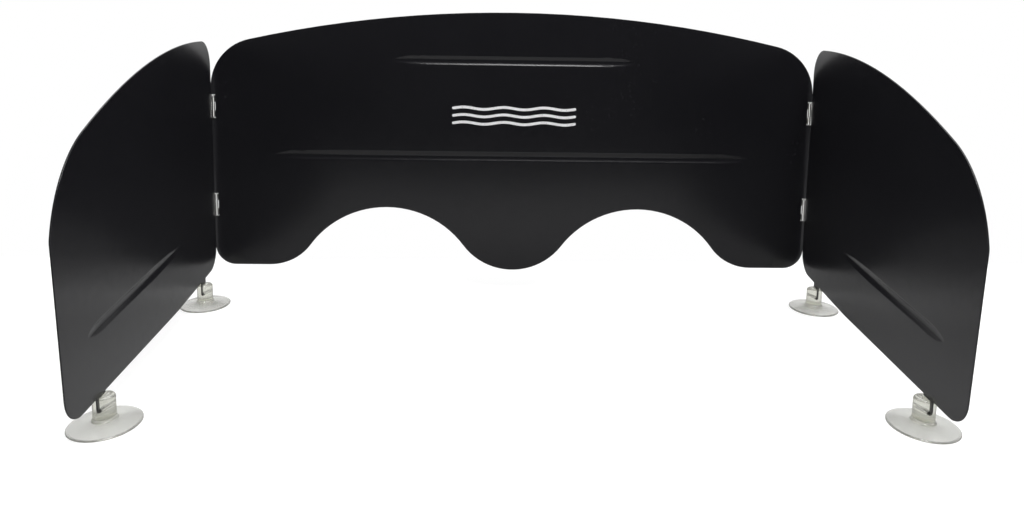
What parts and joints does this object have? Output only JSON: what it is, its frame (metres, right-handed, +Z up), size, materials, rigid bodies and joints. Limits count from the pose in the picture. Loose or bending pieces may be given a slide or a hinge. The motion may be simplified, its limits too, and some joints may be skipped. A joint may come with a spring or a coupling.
{
  "type": "folding stove windshield",
  "caption": "Folding camping-stove windshield: arched back panel with two hinged wings, standing on clear suction cups.",
  "frame": {"origin": "middle of the footprint's bounding box, on the plane that the four suction cups stand on", "axes": "+X to the viewer's right along the back panel, +Y from the open front to the back panel, +Z up"},
  "size_m": [0.6374, 0.3146, 0.2848],
  "materials": {
    "black_powder_coat": "semi-gloss black powder coat",
    "bright_hinge_steel": "bright nickel plate",
    "clear_soft_plastic": "clear soft vinyl, slightly cloudy"
  },
  "bodies": {
    "screen_back": {"back_panel": "black_powder_coat", "left_upper_hinge_back_leaf": "bright_hinge_steel", "left_upper_hinge_pin": "bright_hinge_steel", "left_lower_hinge_back_leaf": "bright_hinge_steel", "left_lower_hinge_pin": "bright_hinge_steel", "right_upper_hinge_back_leaf": "bright_hinge_steel", "right_upper_hinge_pin": "bright_hinge_steel", "right_lower_hinge_back_leaf": "bright_hinge_steel", "right_lower_hinge_pin": "bright_hinge_steel"},
    "left_wing": {"left_wing_panel": "black_powder_coat", "left_upper_hinge_wing_leaf": "bright_hinge_steel", "left_lower_hinge_wing_leaf": "bright_hinge_steel", "left_front_suction_cup": "clear_soft_plastic", "left_rear_suction_cup": "clear_soft_plastic"},
    "right_wing": {"right_wing_panel": "black_powder_coat", "right_upper_hinge_wing_leaf": "bright_hinge_steel", "right_lower_hinge_wing_leaf": "bright_hinge_steel", "right_front_suction_cup": "clear_soft_plastic", "right_rear_suction_cup": "clear_soft_plastic"}
  },
  "joints": [
    {"name": "left_wing_fold", "type": "hinge", "parent": "screen_back", "child": "left_wing", "pos_m": [-0.3, 0.1554, 0.1384], "axis": [0, 0, 1], "range_deg": [-96.2, 83.8]},
    {"name": "right_wing_fold", "type": "hinge", "parent": "screen_back", "child": "right_wing", "pos_m": [0.3, 0.1554, 0.1384], "axis": [0, 0, -1], "range_deg": [-96.2, 83.1]}
  ]
}
